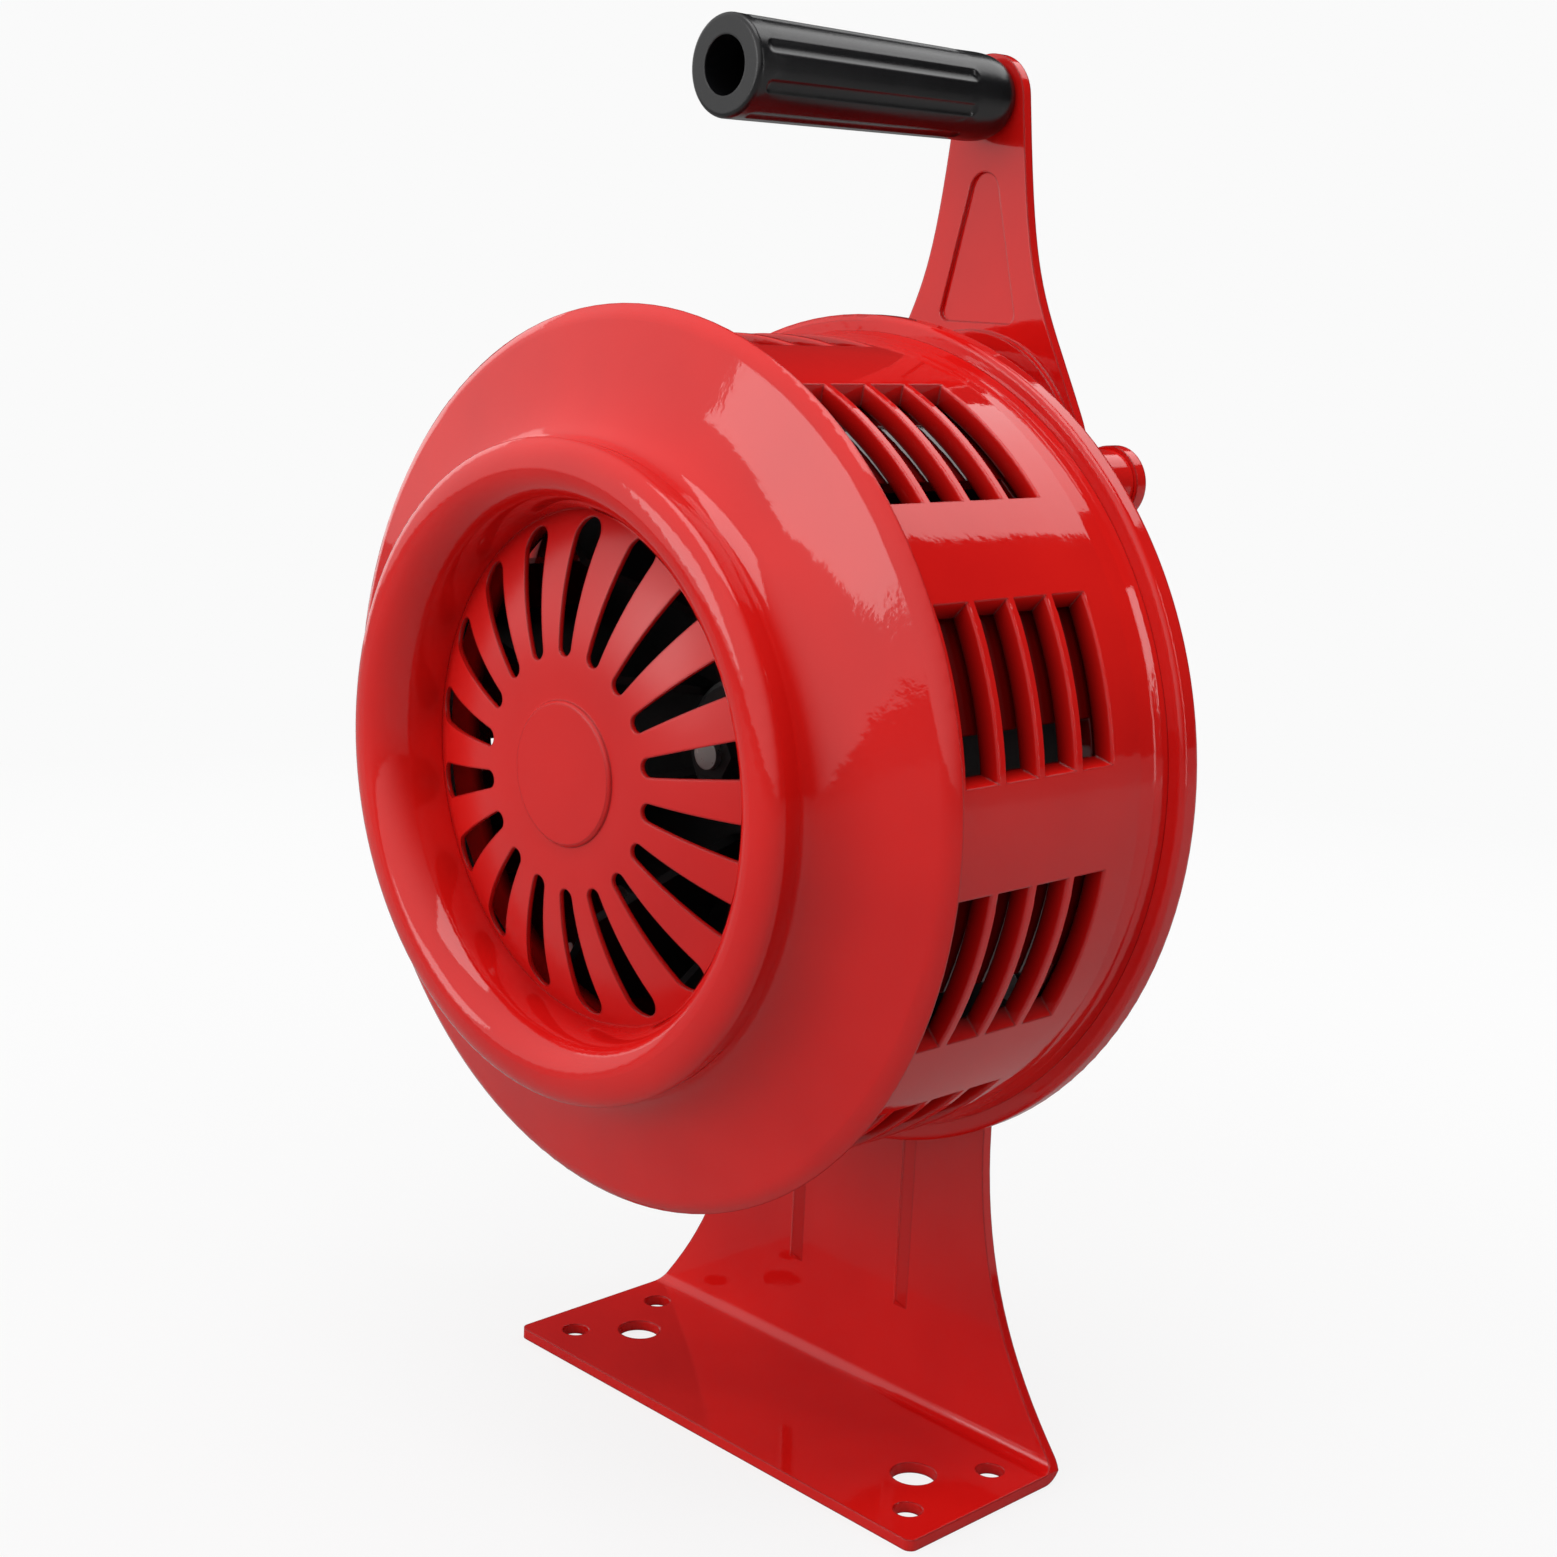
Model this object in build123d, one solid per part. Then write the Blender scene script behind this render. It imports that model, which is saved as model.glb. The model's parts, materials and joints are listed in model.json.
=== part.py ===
from build123d import *
import math
import os

# Hand crank siren: a ported drum with a rotor inside, a bell mouth in front, a step-up gear case
# behind, and a bent sheet-steel foot. Millimetres. The pieces are built about the drum axis: the
# axis is Y, the siren sounds towards -Y, and y = 0 is the plane of the front flange's rim. At the
# end everything moves to the foot's own frame: origin at the centre of the foot's bolt pattern.

# ---------------------------------------------------------------- clearances
run_fit = 0.05          # radial clearance of a shaft or sleeve that turns
seat_fit = 0.02         # radial clearance of pieces pressed or keyed together
end_gap = 0.4           # end float between a turning piece and its neighbour
screw_gap = 0.15        # radial clearance of a screw in its hole
locate_fit = 0.2        # radial clearance of a register between two castings
rotor_gap = 1.4         # running gap between the rotor's rim and the drum

# ---------------------------------------------------------------- foot bracket
axis_height = 188.0     # drum axis above the underside of the foot
sheet = 3.0             # thickness of the bracket's steel
foot_width = 155.2
foot_front = 33.7       # front edge of the foot, behind the flange rim
foot_corner = 2.5
bend_radius = 3.0       # inside radius of the bend
bracket_front = 88.5    # front face of the upright
pattern_y = 60.75       # centre of the four small holes, behind the flange rim
small_hole_inset = 11.5
small_hole_y = 15.75
small_hole_radius = 3.75
big_hole_inset = 23.0
big_hole_y = 59.5
big_hole_radius = 6.0
neck_half = 46.4        # half width of the upright behind the drum
flare_top = -100.0      # height where the sides begin to sweep out
sweep_upper = 46.4      # how far the sweep keeps to its upright direction
sweep_lower = 18.0      # and how far it arrives in its last one
sweep_slope = 0.8       # sideways run for each unit down where it arrives
upright_top = 50.0
upright_corner = 18.0
rib_x = 20.5            # pressed stiffening ribs
rib_half = 2.6
rib_rise = 2.0
rib_low = -159.0
rib_high = -58.0
shaft_window = 8.0      # radius of the hole that the rotor shaft passes

# ---------------------------------------------------------------- drum
flange_overhang = 6.2   # the flange's rim stands this far outside the drum
drum_wall = 4.8
drum_front = 0.6
drum_rear = 76.5
drum_flare = 1.3        # the drum widens by this much towards the rear cover
drum_flare_length = 9.0
web_thickness = 2.4     # inner lip that carries the bell
web_step = 5.6          # the lip's edge stands this far outside the bell's neck
ports = 10
port_angle = 22.3       # width of each port group
port_phase = 18.0       # centre of the first port group, above +X
slots_per_port = 4
slot_width = 10.3
bar_width = 2.9
first_slot = 7.2        # front edge of the first slot
slot_draft = 0.5        # a slot narrows by this much on each side going in
port_draft = 2.2        # and its ends come in by this much
bar_round = 0.6         # rounding of the bars' outer edges

# ---------------------------------------------------------------- front bell
flange_radius = 110.0
face_inset = 3.8        # the flange's face turns over into its rim this far inside it
face_y = -3.8
flare_run = 14.5        # straight outer part of the face: its width and its rise
flare_rise = 3.4
rim_front = -1.0
rim_chamfer = 1.4
throat_radius = 62.5
throat_y = -11.5        # front end of the throat's straight wall
crest_radius = 72.0
crest_y = -26.8
lip_radius = 79.3
lip_y = -23.0
neck_radius = 78.4
neck_y = -18.0
seat_y = -8.9           # shoulder that the grille sits on
tube_radius = 68.5      # outside of the throat tube
tube_rear = 4.6
hollow_radius = 74.5    # inside of the hollow mouth ring
hollow_front = -22.5
hollow_corner = 1.5
hollow_rear = -4.0
register_wall = 4.0
bell_screws = 5
bell_screw_radius = 1.5
bell_screw_length = 6.4

# ---------------------------------------------------------------- intake grille
grille_sheet = 1.2
grille_y = -19.2        # front face of the flat middle
grille_flat = 22.0
grille_rim = 64.3
disc_radius = 17.5
disc_rise = 1.0
grille_slots = 18
grille_phase = 12.8
slot_inner = 28.0
slot_outer = 60.4
slot_inner_half = 2.25
slot_outer_half = 4.5
ring_radius = 65.8      # spring ring behind the grille
ring_section = 1.4
ring_mouth = 12.0

# ---------------------------------------------------------------- rear cover
cover_inset = 0.8       # the cover's rim is this much smaller than the flange
cover_rear = 83.0
cover_web = 4.5
cover_rim = 4.4
cover_round = 1.6
spigot_wall = 4.0
spigot_length = 6.0
boss_radius = 19.0
boss_front = 71.5
boss_rear = 85.0
cover_ribs = 6
cover_rib = 4.0
pad_radius = 8.5
pad_upper_x = 38.0
pad_upper_z = -5.0
pad_lower_x = 32.0
pad_lower_z = -60.0
pillar_radius = 8.5
pillar_x = 55.5
pillar_upper_z = 70.5
pillar_lower_z = -30.0
cover_screws = 5
cover_screw_radius = 1.5
cover_screw_length = 14.0

# ---------------------------------------------------------------- rotor bearings
front_race = 13.0       # outer radius of the front bearing
front_race_width = 8.0
front_race_y = 74.0
rear_race = 9.5
rear_race_width = 6.0
rear_race_y = 103.0
race_share = 0.235      # ring thickness as a share of outer radius less bore
ball_gap = 0.3          # inner ring to balls
ball_count = 8

# ---------------------------------------------------------------- rotor
rim_wall = 3.3
rim_front_y = 6.0
plate_front = 60.0
plate_thickness = 3.0
rim_lip = 10.0          # width of the lip riveted to the back plate
rim_lip_thickness = 2.1
rotor_port_angle = 18.0
rotor_phase = 4.0
rotor_port_front = 9.5
rotor_port_rear = 57.5
shaft_radius = 5.0
thread_radius = 4.0
tail_radius = 3.0
hub_radius = 18.0
hub_front = 36.0
vane_thickness = 2.5
vane_front = 16.0
vane_inner = 34.0
vane_tip = 58.0
tab_inner = 50.0        # tab that holds a vane in the back plate
tab_outer = 62.0
collar_radius = 6.4
collar_width = 4.0
rivet_radius = 2.0
key_width = 3.0
key_front = 40.0
key_length = 14.0

# ---------------------------------------------------------------- gears
tooth_module = 0.8
big_teeth = 71
small_teeth = 15
pressure_angle = 20.0
shift = 0.3             # profile shift, added on the pinions and taken from the wheels
thinning = 0.04         # taken off each tooth for backlash
crank_z = 68.0          # crank axis above the drum axis
idler_gear_front = 95.5
idler_gear_face = 5.0
rotor_pinion_front = 94.9
rotor_pinion_rear = 101.0
idler_teeth_front = 101.2
idler_teeth_rear = 108.2
crank_gear_front = 102.0
crank_gear_rear = 107.5
gear_hub_radius = 5.0
idler_pin_radius = 3.0
gear_hole_radius = 5.0
gear_hole_circle = 18.0
gear_holes = 6

# ---------------------------------------------------------------- gear case
base_thickness = 3.0
case_room = 33.0        # outside radius of the case about the crank and idler axes
case_low = 20.0         # and about the rotor axis
case_wall = 3.0
case_back = 108.5
case_rear = 112.0
race_boss = 12.5
ear_radius = 9.45
ear_arm = 7.0
case_screw_radius = 2.5
case_screw_length = 14.0
bolt_radius = 3.0
bolt_across = 10.0
bolt_head = 4.0
washer_radius = 6.5
washer_thickness = 1.6

# ---------------------------------------------------------------- crank
front_journal = 4.5
crank_middle = 4.9
rear_journal = 8.0
bush_wall = 2.0
bush_flange = 3.0
bush_flange_thickness = 1.2
shoulder_radius = 11.0
square_side = 12.4
crank_thread = 6.0
arm_front = 118.0
arm_sheet = 3.0
arm_length = 97.5
arm_end = 11.6
arm_hub = 40.0
arm_slope = 0.5         # sideways run of the edge for each unit down, at the hub
arm_taper = 0.11        # and just below the arm's end
arm_upper = 51.0        # how far each of the two runs holds its direction
arm_lower = 35.7
disc_step = 38.0        # radius of the raised hub disc
disc_forward = 2.0
panel_top = 142.0       # pressed triangular panel
panel_top_radius = 5.0
panel_low = 110.5
panel_half = 10.5
panel_corner = 2.5
panel_depth = 1.0

# ---------------------------------------------------------------- grip
grip_radius = 12.15
grip_waist = 11.2       # radius where the tail begins
grip_front = 23.3
grip_rear = 117.5
grip_round = 1.2
grip_hollow = 7.0
grip_hollow_depth = 72.0
grip_taper = 103.0
grip_tail = 9.3
flutes = 8
flute_radius = 3.6
flute_depth = 0.6
flute_front = 28.5
flute_rear = 100.0
axle_radius = 4.0
axle_head = 6.4
axle_head_length = 5.0
axle_thread = 3.0

# ---------------------------------------------------------------- worked out from the above
drum_radius = flange_radius - flange_overhang
face_radius = flange_radius - face_inset
cover_radius = flange_radius - cover_inset
drum_bore = drum_radius - drum_wall
web_radius = neck_radius + web_step
bell_screw_circle = (web_radius + drum_bore) / 2
small_hole_x = foot_width / 2 - small_hole_inset
big_hole_x = foot_width / 2 - big_hole_inset
pads_upper = (pad_upper_x, pad_upper_z)
pads_lower = (pad_lower_x, pad_lower_z)
pillars_upper = (pillar_x, pillar_upper_z)
pillars_lower = (pillar_x, pillar_lower_z)
rotor_radius = drum_bore - rotor_gap
rim_bore = rotor_radius - rim_wall
plate_rear = plate_front + plate_thickness
rim_rear = plate_rear + rim_lip_thickness
bracket_rear = bracket_front + sheet
base_front = bracket_rear
base_rear = base_front + base_thickness
web_front = drum_front + web_thickness
cover_web_rear = drum_rear + cover_web
centre_distance = tooth_module * (big_teeth + small_teeth) / 2
idler_z = crank_z / 2
idler_x = math.sqrt(centre_distance**2 - idler_z**2)
front_collar = front_race_y + front_race_width
arm_rear = arm_front + arm_sheet
disc_front = arm_front - disc_forward
disc_rear = arm_rear - disc_forward
grip_z = crank_z + arm_length
crank_shoulder = case_rear + bush_flange_thickness + end_gap


# ---------------------------------------------------------------- helpers
def rod(radius, y0, y1, x=0.0, z=0.0):
    """Round bar along Y."""
    return Pos(x, (y0 + y1) / 2, z) * Rot(90, 0, 0) * Cylinder(radius, y1 - y0)


def tube(outer, inner, y0, y1, x=0.0, z=0.0):
    """Hollow round bar along Y."""
    return rod(outer, y0, y1, x, z) - rod(inner, y0 - 1, y1 + 1, x, z)


def spun(section, angle=360.0):
    """Section turned about the drum axis, the middle of the turn above +X."""
    for turn in (angle, -angle):
        solid = Rot(0, -turn / 2, 0) * revolve(section, Axis.Y, turn)
        if solid.volume > 0:
            return solid


def turned(points):
    """Solid of revolution about the drum axis from (radius, y) corners."""
    return spun(make_face(Polyline(*points, close=True)))


def plate(outline, y0, y1):
    """An outline drawn in X and Z, standing from y0 to y1."""
    return extrude(Plane.XZ.offset(-y0) * outline, amount=-(y1 - y0))


def quarter(start, corner, end):
    """Quarter arc from start to end that rounds off a corner."""
    centre = [a + b - c for a, b, c in zip(start, end, corner)]
    middle = [c + (k - c) / math.sqrt(2) for c, k in zip(centre, corner)]
    return ThreePointArc(start, tuple(middle), end)


def ring_of(shape, count, phase=0.0):
    """Copies of a shape turned about the drum axis, the phase being above +X."""
    return [Rot(0, -(phase + i * 360 / count), 0) * shape for i in range(count)]


def at_crank(shape):
    """Move a shape built on the drum axis to the crank axis."""
    return Pos(0, 0, crank_z) * shape


def at_idler(shape):
    return Pos(idler_x, 0, idler_z) * shape


def hexagon(across, y0, y1):
    """Hexagonal bar along Y, across flats."""
    return plate(RegularPolygon(across / 2, 6, major_radius=False), y0, y1)


def pan_screw(radius, length, seat):
    """Pan-head screw: the shank runs forward from its seat, the head stands behind it."""
    head = rod(radius * 1.9, seat, seat + radius * 1.25)
    head = fillet(head.edges().group_by(Axis.Y)[-1], radius * 0.5)
    return rod(radius, seat - length, seat) + head


def both_sides(place):
    """A place on the right and its mirror image on the left."""
    return [place, (-place[0], place[1])]


def hull_of(circles, grow=0.0):
    """Outline round circles given as (x, z, radius)."""
    edges = []
    for x, z, radius in circles:
        edges += (Pos(x, z) * Circle(radius + grow)).edges()
    return make_hull(edges)


# ---------------------------------------------------------------- drum
def slot_section(y0):
    """Section of one slot through the drum wall: narrower inside, its outer edges rounded."""
    y1 = y0 + slot_width
    inside = drum_bore - 1
    edge = drum_radius - bar_round
    outside = drum_radius + bar_round
    return make_face([
        Polyline((edge, y0), (inside, y0 + slot_draft), (inside, y1 - slot_draft), (edge, y1)),
        quarter((edge, y1), (drum_radius, y1), (drum_radius, y1 + bar_round)),
        Polyline((drum_radius, y1 + bar_round), (outside, y1 + bar_round),
                 (outside, y0 - bar_round), (drum_radius, y0 - bar_round)),
        quarter((drum_radius, y0 - bar_round), (drum_radius, y0), (edge, y0)),
    ])


def port_wedge():
    """Outline of a port group seen along the axis, narrower inside than outside."""
    half = math.radians(port_angle / 2)
    slope = (math.sin(half) * drum_wall + port_draft) / (math.cos(half) * drum_wall)
    middle = (drum_radius * math.cos(half), drum_radius * math.sin(half))
    near = (middle[0] - 3 * drum_wall, middle[1] - 3 * drum_wall * slope)
    far = (middle[0] + 2 * drum_wall, middle[1] + 2 * drum_wall * slope)
    corners = [near, far, (far[0], -far[1]), (near[0], -near[1])]
    return make_face(Polyline(*corners, close=True))


def port_cutters():
    """All the slots of every port group."""
    wedge = plate(port_wedge(), drum_front, drum_rear)
    cutters = []
    for i in range(slots_per_port):
        section = slot_section(first_slot + i * (slot_width + bar_width))
        cutters += ring_of(spun(section, 2 * port_angle) & wedge, ports, port_phase)
    return cutters


def stator_drum():
    """Ported drum with an inner lip in front that the bell is screwed to."""
    drum = turned([
        (web_radius, drum_front),
        (drum_radius, drum_front),
        (drum_radius, drum_rear - drum_flare_length),
        (drum_radius + drum_flare * 0.3, drum_rear - drum_flare_length * 0.45),
        (drum_radius + drum_flare, drum_rear),
        (drum_bore, drum_rear),
        (drum_bore, web_front),
        (web_radius, web_front),
    ])
    drum -= port_cutters()
    drum -= bell_screws_shape(screw_gap)
    return drum - cover_screws_shape(screw_gap)


# ---------------------------------------------------------------- front bell
def bell_screws_shape(extra=0.0):
    """Countersunk screws through the drum's lip into the bell."""
    tip = web_front - bell_screw_length
    screw = turned([
        (0, tip - extra),
        (bell_screw_radius + extra, tip - extra),
        (bell_screw_radius + extra, web_front - bell_screw_radius * 0.9),
        (bell_screw_radius * 1.9 + extra, web_front),
        (0, web_front),
    ])
    return ring_of(Pos(bell_screw_circle, 0, 0) * screw, bell_screws)


def front_bell():
    """Rolled mouth ring, throat and wide flange in one hollow casting."""
    register = web_radius - locate_fit
    flare = [
        (neck_radius, neck_y),
        (neck_radius, neck_y / 2 - 0.5),
        (face_radius - flare_run, face_y - flare_rise),
        (face_radius, face_y),
    ]
    flare_end = (flare[3][0] - flare[2][0], flare[3][1] - flare[2][1])
    section = make_face([
        Line((throat_radius, seat_y), (throat_radius, throat_y)),
        EllipticalCenterArc((crest_radius, throat_y), crest_radius - throat_radius,
                            throat_y - crest_y, 180, arc_size=90),
        EllipticalCenterArc((crest_radius, lip_y), lip_radius - crest_radius,
                            lip_y - crest_y, 270, arc_size=90),
        Line((lip_radius, lip_y), (neck_radius, neck_y)),
        Bezier(*flare),
        TangentArc((face_radius, face_y), (flange_radius, rim_front), tangent=flare_end),
        Polyline(
            (flange_radius, rim_front),
            (flange_radius, drum_front - rim_chamfer),
            (flange_radius - rim_chamfer, drum_front),
            (register, drum_front),
            (register, web_front - locate_fit),
            (register - register_wall, web_front - locate_fit),
            (register - register_wall, hollow_rear),
            (hollow_radius, throat_y + hollow_corner),
            (hollow_radius, hollow_front + hollow_corner),
            (hollow_radius - hollow_corner, hollow_front),
            (tube_radius + hollow_corner, hollow_front),
            (tube_radius, hollow_front + hollow_corner),
            (tube_radius, tube_rear),
            (grille_rim + locate_fit, tube_rear),
            (grille_rim + locate_fit, seat_y),
            (throat_radius, seat_y),
        ),
    ])
    groove_front = seat_y + grille_sheet + locate_fit
    groove = tube(ring_radius + locate_fit, throat_radius, groove_front,
                  groove_front + ring_section + locate_fit)
    return spun(section) - groove - bell_screws_shape(screw_gap)


# ---------------------------------------------------------------- grille
def dome_profile():
    """Half section of the pressed grille: flat middle, curved shoulder, seating rim."""
    across = throat_radius - locate_fit - grille_flat
    sag = seat_y - grille_y
    radius = (across**2 + sag**2) / (2 * sag)
    share = (radius - grille_sheet) / radius
    back = grille_y + grille_sheet
    inner_end = (grille_flat + across * share, grille_y + radius - (radius - sag) * share)
    outer_end = (grille_flat + across, seat_y)
    return make_face([
        Line((0, grille_y), (grille_flat, grille_y)),
        TangentArc((grille_flat, grille_y), outer_end, tangent=(1, 0)),
        Polyline(outer_end, (grille_rim, seat_y), (grille_rim, seat_y + grille_sheet),
                 (inner_end[0], seat_y + grille_sheet), inner_end),
        TangentArc((grille_flat, back), inner_end, tangent=(1, 0)),
        Polyline((grille_flat, back), (0, back), (0, grille_y)),
    ])


def intake_grille():
    """Domed grille with tapered slots round a raised middle disc."""
    ease = disc_rise * 0.6
    disc = turned([
        (0, grille_y - disc_rise),
        (disc_radius - ease, grille_y - disc_rise),
        (disc_radius, grille_y - disc_rise + ease),
        (disc_radius, grille_y + ease),
        (0, grille_y + ease),
    ])
    slot = hull_of([(slot_inner + slot_inner_half, 0, slot_inner_half),
                    (slot_outer - slot_outer_half, 0, slot_outer_half)])
    cutter = plate(slot, grille_y - 2, seat_y + 1)
    return spun(dome_profile()) + disc - ring_of(cutter, grille_slots, grille_phase)


def grille_ring():
    """Open spring ring that holds the grille against its shoulder."""
    front = seat_y + grille_sheet + 1.5 * locate_fit
    ring = tube(ring_radius, throat_radius, front, front + ring_section)
    return ring - Pos(0, front, -ring_radius) * Box(ring_mouth, 4 * ring_section, ring_mouth)


# ---------------------------------------------------------------- rear cover
def cover_screws_shape(extra=0.0):
    """Pan-head screws through the rear cover into the drum's wall."""
    screw = pan_screw(cover_screw_radius, cover_screw_length, cover_web_rear)
    if extra:
        screw = rod(cover_screw_radius + extra, cover_web_rear - cover_screw_length - extra,
                    cover_web_rear + extra)
    return ring_of(Pos(drum_bore + drum_wall / 2, 0, 0) * screw, cover_screws)


def cover_section():
    """Half section of the rear cover: web, spigot inside the drum and rounded rim."""
    spigot = drum_bore - run_fit
    near = cover_radius - cover_round
    return make_face([
        Polyline((0, drum_rear), (spigot - spigot_wall, drum_rear),
                 (spigot - spigot_wall, drum_rear - spigot_length),
                 (spigot, drum_rear - spigot_length), (spigot, drum_rear), (near, drum_rear)),
        quarter((near, drum_rear), (cover_radius, drum_rear),
                (cover_radius, drum_rear + cover_round)),
        Line((cover_radius, drum_rear + cover_round), (cover_radius, cover_rear - cover_round)),
        quarter((cover_radius, cover_rear - cover_round), (cover_radius, cover_rear),
                (near, cover_rear)),
        Polyline((near, cover_rear), (cover_radius - cover_rim, cover_rear),
                 (cover_radius - cover_rim, cover_web_rear), (0, cover_web_rear), (0, drum_rear)),
    ])


def rear_cover():
    """Rear flange with a bearing boss, bracket pads and gear-case pillars."""
    pads = both_sides(pads_upper) + both_sides(pads_lower)
    pillars = both_sides(pillars_upper) + both_sides(pillars_lower)
    cover = spun(cover_section()) + rod(boss_radius, boss_front, boss_rear)
    reach = drum_bore - spigot_wall / 2
    rib = Pos(reach / 2, drum_rear, 0) * Box(reach, cover_web + 3, cover_rib)
    cover += ring_of(rib, cover_ribs, 30)
    cover += [rod(pad_radius, drum_rear, bracket_front, x, z) for x, z in pads]
    cover += [rod(pillar_radius, drum_rear, case_back, x, z) for x, z in pillars]
    cover -= rod(front_race - 2, boss_front - 5, boss_rear + 1)
    cover -= rod(front_race + seat_fit, front_race_y, boss_rear + 1)
    cover -= rod(front_race + 0.8, front_collar, front_collar + 1.3)
    cover -= [rod(bolt_radius + screw_gap, drum_rear + 1.5, bracket_front + 1, x, z)
              for x, z in pads]
    cover -= [rod(case_screw_radius + screw_gap, case_rear - case_screw_length - 1, case_back + 1,
                  x, z) for x, z in pillars]
    return cover - cover_screws_shape(screw_gap)


def bearing_circlip():
    """Spring ring in the boss, behind the front bearing."""
    outer = front_race + 0.7
    clip = tube(outer, front_race - 1.6, front_collar + 0.05, front_collar + 1.2)
    return clip - Pos(0, front_collar, -outer) * Box(5, 6, 6)


# ---------------------------------------------------------------- bearings
def bearings():
    """Each bearing as (outer radius, bore, front, width)."""
    return [
        (front_race, shaft_radius, front_race_y, front_race_width),
        (rear_race, tail_radius, rear_race_y, rear_race_width),
    ]


def ring_wall(outer, bore):
    """Radial thickness of a bearing ring."""
    return (outer - bore) * race_share


def bearing_outer_rings():
    return [tube(outer, outer - ring_wall(outer, bore), y, y + width)
            for outer, bore, y, width in bearings()]


def bearing_inner_rings():
    return [tube(bore + ring_wall(outer, bore), bore + seat_fit, y, y + width)
            for outer, bore, y, width in bearings()]


def bearing_balls():
    balls = []
    for outer, bore, y, width in bearings():
        room = outer - bore - 2 * ring_wall(outer, bore)
        ball_radius = (room - ball_gap - seat_fit) / 2
        circle = outer - ring_wall(outer, bore) - seat_fit - ball_radius
        balls += ring_of(Pos(circle, y + width / 2, 0) * Sphere(ball_radius), ball_count)
    return balls


# ---------------------------------------------------------------- rotor
def rivets_shape(extra=0.0):
    """Round-head rivets through the rim's lip and the wheel's back plate."""
    circle = rim_bore - rim_lip / 2
    rivet = rod(rivet_radius + extra, plate_front - 1, rim_rear + 1, circle)
    if not extra:
        rivet += rod(rivet_radius * 1.8, plate_front - 1.3, plate_front, circle)
        rivet += rod(rivet_radius * 1.8, rim_rear, rim_rear + 1.3, circle)
    return ring_of(rivet, ports, rotor_phase)


def rotor_rim():
    """Ported ring that opens and shuts the drum's slots as it turns."""
    ring = turned([
        (rim_bore, rim_front_y),
        (rotor_radius, rim_front_y),
        (rotor_radius, rim_rear),
        (rim_bore - rim_lip, rim_rear),
        (rim_bore - rim_lip, plate_rear),
        (rim_bore, plate_rear),
    ])
    window = make_face(Polyline(
        (rim_bore - 1, rotor_port_front),
        (rotor_radius + 1, rotor_port_front),
        (rotor_radius + 1, rotor_port_rear),
        (rim_bore - 1, rotor_port_rear),
        close=True))
    ring -= ring_of(spun(window, rotor_port_angle), ports, rotor_phase)
    return ring - rivets_shape(seat_fit)


def keyway(radius, y0, y1, extra=0.0):
    """Square key, half in the shaft and half in the hub."""
    side = key_width + 2 * extra
    return Pos(0, (y0 + y1) / 2, radius) * Box(side, y1 - y0 + 2 * extra, side)


def rotor_key():
    return keyway(shaft_radius, key_front, key_front + key_length)


def vane_tab(extra=0.0):
    """Tab of a vane, through the wheel's back plate."""
    middle = (tab_inner + tab_outer) / 2
    width = tab_outer - tab_inner + 2 * extra
    tab = Pos(middle, 0) * Rectangle(width, vane_thickness + 2 * extra)
    return plate(tab, plate_front - extra, plate_rear + extra)


def at_vanes(shape):
    """Copies of a shape at every vane, half way between the rim's ports."""
    return ring_of(shape, ports, rotor_phase + 180 / ports)


def rotor_vanes():
    """Ten flat radial vanes, each with a tab in the back plate."""
    edge = rim_bore - locate_fit / 2 - end_gap
    blade = make_face(Polyline((vane_inner, plate_front), (vane_inner, plate_front - 6),
                               (vane_tip, vane_front), (edge, vane_front),
                               (edge, plate_front), close=True))
    blade = extrude(blade, amount=vane_thickness / 2, both=True)
    return at_vanes(blade + vane_tab())


def rotor_wheel():
    """Hub and back plate of the impeller, with a slot for each vane's tab."""
    edge = rim_bore - locate_fit / 2
    bore = shaft_radius + seat_fit
    wheel = turned([
        (bore, hub_front),
        (hub_radius - 1.5, hub_front),
        (hub_radius, hub_front + 1.5),
        (hub_radius, plate_front - 8),
        (hub_radius + 8, plate_front),
        (edge, plate_front),
        (edge, plate_rear),
        (bore, plate_rear),
    ])
    wheel -= keyway(shaft_radius, key_front, key_front + key_length, seat_fit)
    return wheel - at_vanes(vane_tab(seat_fit)) - rivets_shape(seat_fit)


def rotor_shaft():
    """Stepped shaft: threaded nose, wheel seat, collar behind the front bearing, pinion tail."""
    shaft = rod(thread_radius, hub_front - 10, hub_front)
    shaft += rod(shaft_radius, hub_front, rotor_pinion_front)
    shaft += rod(collar_radius, front_collar, front_collar + collar_width)
    shaft += rod(tail_radius, rotor_pinion_front, rear_race_y + rear_race_width)
    return shaft - keyway(shaft_radius, key_front, key_front + key_length, seat_fit)


def rotor_spacer():
    """Sleeve between the wheel and the front bearing's inner ring."""
    outer = shaft_radius + ring_wall(front_race, shaft_radius)
    return tube(outer, shaft_radius + seat_fit, plate_rear, front_race_y)


def rotor_washer():
    return tube(9.0, thread_radius + screw_gap, hub_front - washer_thickness, hub_front)


def rotor_nut():
    seat = hub_front - washer_thickness
    return hexagon(13.0, seat - 6.5, seat) - rod(thread_radius + seat_fit, seat - 8, seat + 1)


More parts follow.
